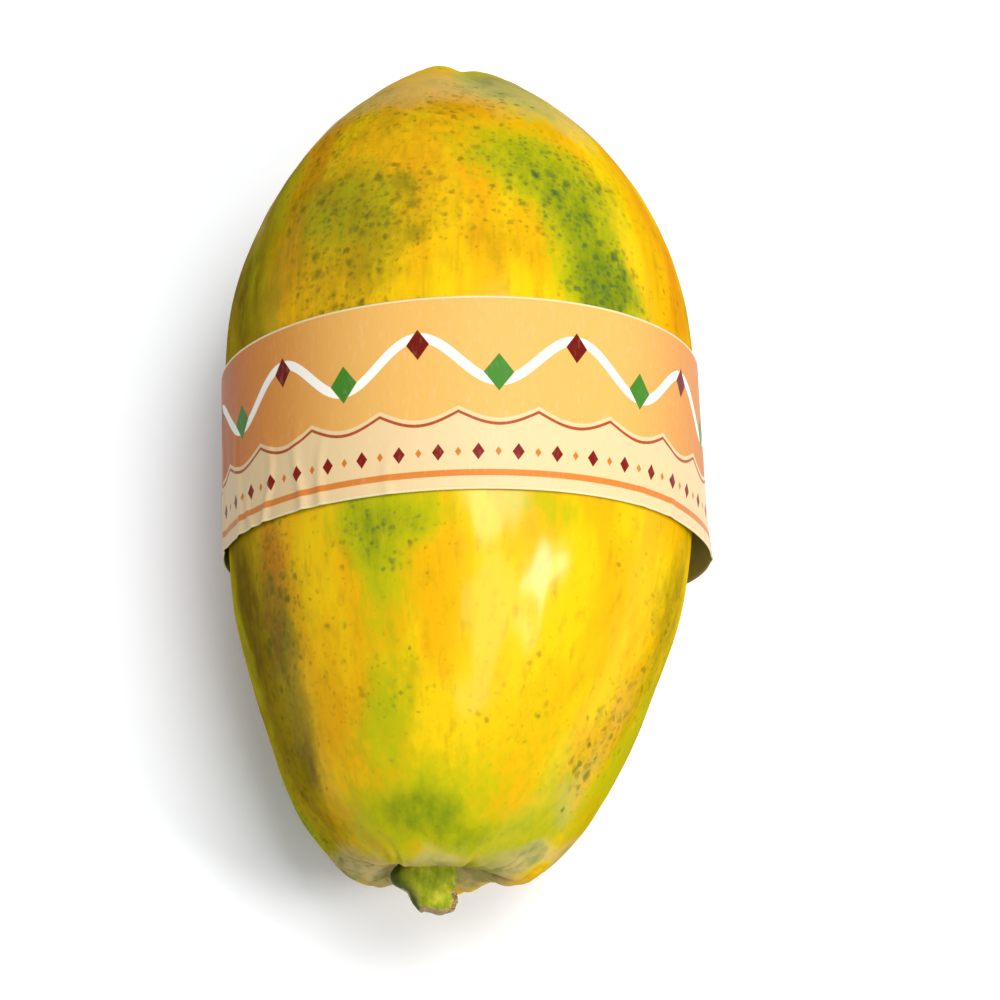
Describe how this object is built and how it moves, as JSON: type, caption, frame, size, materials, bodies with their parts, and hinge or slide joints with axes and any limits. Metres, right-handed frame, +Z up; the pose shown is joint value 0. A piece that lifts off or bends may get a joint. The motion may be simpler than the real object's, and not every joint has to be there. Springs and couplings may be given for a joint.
{
  "type": "papaya",
  "caption": "Long ripe papaya lying on its side, with a short cut stem stub and a plain printed paper band round its middle.",
  "frame": {"origin": "on the surface that the fruit lies on, under the middle of its box", "axes": "+Y along the fruit towards the blossom end, +Z up, +X to the right as seen from the stem end"},
  "size_m": [0.1452, 0.2586, 0.1407],
  "materials": {
    "papaya_skin": "waxy ripe skin, yellow with green patches and speckles, low sheen",
    "green_stem": "fresh green stalk, satin, with a fibrous tan cut face",
    "printed_paper": "thin coated paper, printed in peach, cream, brown and green"
  },
  "bodies": {
    "root": {"fruit": "papaya_skin", "stem_stub": "green_stem", "paper_band": "printed_paper"}
  },
  "joints": []
}
